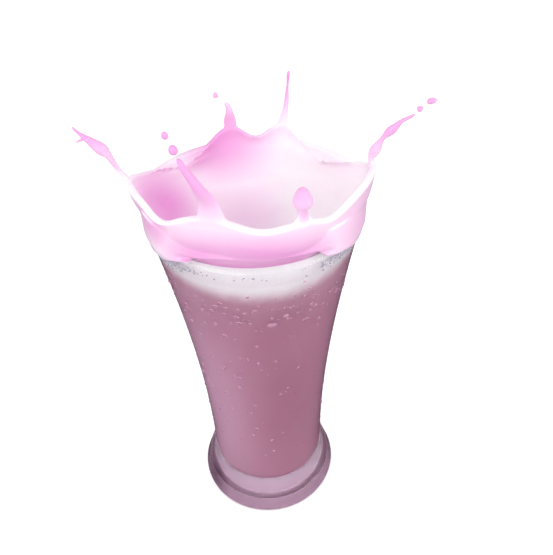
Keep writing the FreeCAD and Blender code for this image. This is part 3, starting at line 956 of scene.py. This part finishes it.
# The painted highlight begins with how much the surface faces up.
lip_highlight = fade(tree, upwards, -0.05, 0.5)
for value, ends, full in HIGHLIGHT_LIMITS:
    rising = full > ends
    low, high = (0.0, 1.0) if rising else (1.0, 0.0)
    part = fade(tree, value, min(ends, full), max(ends, full), low, high)
    lip_highlight = maths(tree, "MULTIPLY", lip_highlight, part)
colour = blend(tree, lip_highlight, blend(tree, amount, PALE, PINK), LIP_PAINTED_HIGHLIGHT)
shader = node(
    tree, "ShaderNodeBsdfPrincipled",
    {
        "Base Color": colour, "Roughness": 0.32, "Specular IOR Level": 0.35,
        "Subsurface Weight": 0.25, "Subsurface Radius": (1.0, 0.7, 0.9), "Subsurface Scale": 0.002,
    },
)
tree.links.new(shader.outputs[0], output.inputs["Surface"])
for piece in [splash, *drops]:
    piece.data.materials.append(material)
print("material:", material.name)

# %% [markdown]
# ## Water on the cold glass
# Moist air leaves water on a cold glass: a fine mist of beads, some that have grown large, and
# some that have begun to run. A bead is the cap of a ball, because water spreads on glass. One
# ball has its back cut off and the hole filled. The beads are copies of its mesh, each
# pressed flat and stretched its own way, laid on the wall and joined. The beads are only partly
# clear: their pale pink colour is a painted highlight that shows each bead as a lighter spot.

# %% Bead helpers


def small_ball(name, cut):
    """A ball of radius 1 with its back cut off flat, from a few dozen faces."""
    bpy.ops.object.select_all(action="DESELECT")
    bpy.ops.mesh.primitive_ico_sphere_add(subdivisions=2, radius=1.0)
    ball = bpy.context.object
    ball.name = ball.data.name = name
    bpy.ops.object.mode_set(mode="EDIT")
    bpy.ops.mesh.select_all(action="SELECT")
    bpy.ops.mesh.bisect(plane_co=(0, 0, cut), plane_no=(0, 0, 1), use_fill=True, clear_inner=True)
    bpy.ops.object.mode_set(mode="OBJECT")
    bpy.ops.object.shade_smooth_by_angle(angle=math.radians(50))
    return ball


def on_wall(azimuth, height, width, tall, proud, lean=0.0):
    """The place, turn and size of a bead on the outside of the glass. Millimetres, degrees."""
    turn, z = math.radians(azimuth), height * MM
    slope = (outer_radius(z + MM) - outer_radius(z - MM)) / (2 * MM)
    out = Vector((math.sin(turn), -math.cos(turn), 0))
    across = Vector((math.cos(turn), math.sin(turn), 0))
    up = (out * slope + Vector((0, 0, 1))).normalized()
    facing = Matrix((across, up, across.cross(up))).transposed().to_4x4()
    place = out * outer_radius(z) + Vector((0, 0, z))
    size = Matrix.Diagonal((width * MM, tall * MM, proud * MM, 1))
    return Matrix.Translation(place) @ facing @ Matrix.Rotation(math.radians(lean), 4, "Z") @ size


def scatter(ball, name, places):
    """Copies a small shape to many places, each with its own mesh, and joins the copies."""
    bpy.ops.object.select_all(action="DESELECT")
    for place in places:
        copy = ball.copy()
        copy.data = ball.data.copy()
        copy.data.transform(place)
        bpy.context.scene.collection.objects.link(copy)
        copy.select_set(True)
    bpy.context.view_layer.objects.active = copy
    bpy.ops.object.join()
    piece = bpy.context.object
    piece.name = piece.data.name = name
    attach(piece, "root")
    print(name, len(places), "copies,", len(piece.data.polygons), "faces")
    return piece


# %% [markdown]
# ### Large beads
# These are few enough to be placed one by one: most of them in front, and many just under the
# froth.

# %% Large beads and runs
# Azimuth from the front, height, width and height of the bead: degrees and millimetres.
BEADS = (
    (-25, 132, 1.1, 0.7), (-19, 132, 0.8, 0.6), (-28, 129, 0.9, 0.6), (-35, 128, 0.9, 0.7),
    (-14, 128, 1.0, 0.6), (14, 127, 1.1, 0.8), (6, 123.5, 1.8, 1.1), (33, 127, 0.9, 0.8),
    (-28, 122, 0.8, 0.6), (-11, 104, 0.6, 0.9), (-30, 96, 0.6, 1.4), (-4, 102, 0.6, 0.6),
    (8, 102, 0.6, 0.6), (-23, 92, 0.6, 0.8), (-20, 85, 0.7, 0.7), (-31, 68, 0.7, 0.5),
    (-14, 52, 0.7, 0.6), (-64, 80, 1.2, 0.9), (72, 49, 0.8, 1.0), (150, 118, 1.0, 1.2),
    (196, 96, 0.9, 1.5), (228, 126, 1.1, 0.8), (118, 74, 0.8, 1.1), (262, 58, 0.7, 0.9),
)
ball = small_ball("bead_start", -0.35)
beads = scatter(ball, "water_beads", [on_wall(a, h, w, t, 0.6 * min(w, t)) for a, h, w, t in BEADS])

# %% [markdown]
# ### Fine mist
# Hundreds of tiny beads are placed by chance. Half of them lie in a band just under the froth
# and the rest on the wall below. A fixed seed gives the same beads each time.

# %% Fine mist
random.seed(11)
MIST = 620
places = []
for _ in range(MIST):
    azimuth = random.uniform(-180, 180)
    height = random.gauss(128, 4.5) if random.random() < 0.5 else random.uniform(34, 122)
    size = random.uniform(0.18, 0.32) if random.random() < 0.75 else random.uniform(0.32, 0.6)
    places.append(on_wall(azimuth, height, size * random.uniform(1.0, 1.9), size, size * 0.55))
mist = scatter(ball, "fine_mist", places)

# %% [markdown]
# ### Water with a painted highlight
# Water bends light less than glass does. Its roughness changes a little from bead to bead.
# Only part of the light goes through; the rest shows a pale pink colour, a painted highlight
# that makes each bead a lighter spot.

# %% Water material
BEAD_PAINTED_HIGHLIGHT = chip(226, 182, 208)
material, tree, output = new_material("cold_water")
where = node(tree, "ShaderNodeTexCoord").outputs["Object"]
grain = node(tree, "ShaderNodeTexNoise", {"Vector": where, "Scale": 400.0, "Detail": 2.0})
rough = maths(tree, "MULTIPLY_ADD", grain.outputs[0], 0.08, 0.02)
# Painted highlight: the pale pink colour of the beads.
shader = node(
    tree, "ShaderNodeBsdfPrincipled",
    {"Base Color": BEAD_PAINTED_HIGHLIGHT, "Transmission Weight": 0.6, "IOR": 1.33, "Roughness": rough},
)
tree.links.new(shader.outputs[0], output.inputs["Surface"])
for piece in (beads, mist):
    piece.data.materials.append(material)
print("material:", material.name)

# %% [markdown]
# ## Bubbles
# Along the edge of the milk the froth breaks up into small bubbles. Their skins are thin and
# let the shade of the room through, so they look slate grey against the white; the grey is
# painted shade in their colour. They are scattered just under the hanging edge, most thickly
# on both sides of the front.

# %% Bubbles
BUBBLES, RIM_LEVEL = 500, 148.0
random.seed(23)
places = []
while len(places) < BUBBLES:
    spread = random.random()
    azimuth = random.gauss(-49, 10) if spread < 0.45 else random.gauss(48, 9)
    if spread > 0.85:
        azimuth = random.uniform(-180, 180)
    height = min(lap_edge(azimuth) / MM, RIM_LEVEL) - abs(random.gauss(0.6, 1.5))
    size = random.uniform(0.10, 0.27)
    width, lean = size * random.uniform(1.0, 2.4), random.uniform(-50, 50)
    places.append(on_wall(azimuth, height, width, size, size, lean))
bubbles = scatter(ball, "froth_bubbles", places)
bpy.data.objects.remove(ball)

# %% Bubble material
# The grey of the skins is painted shade.
DARK_SKIN, PALE_SKIN = chip(112, 106, 132), chip(208, 202, 218)
material, tree, output = new_material("bubble_skin")
where = node(tree, "ShaderNodeTexCoord").outputs["Object"]
shade = node(tree, "ShaderNodeTexNoise", {"Vector": where, "Scale": 700.0, "Detail": 1.0})
colour = blend(tree, shade.outputs[0], DARK_SKIN, PALE_SKIN)
shader = node(
    tree, "ShaderNodeBsdfPrincipled",
    {"Base Color": colour, "Roughness": 0.15, "Specular IOR Level": 0.6},
)
tree.links.new(shader.outputs[0], output.inputs["Surface"])
bubbles.data.materials.append(material)
print("material:", material.name)
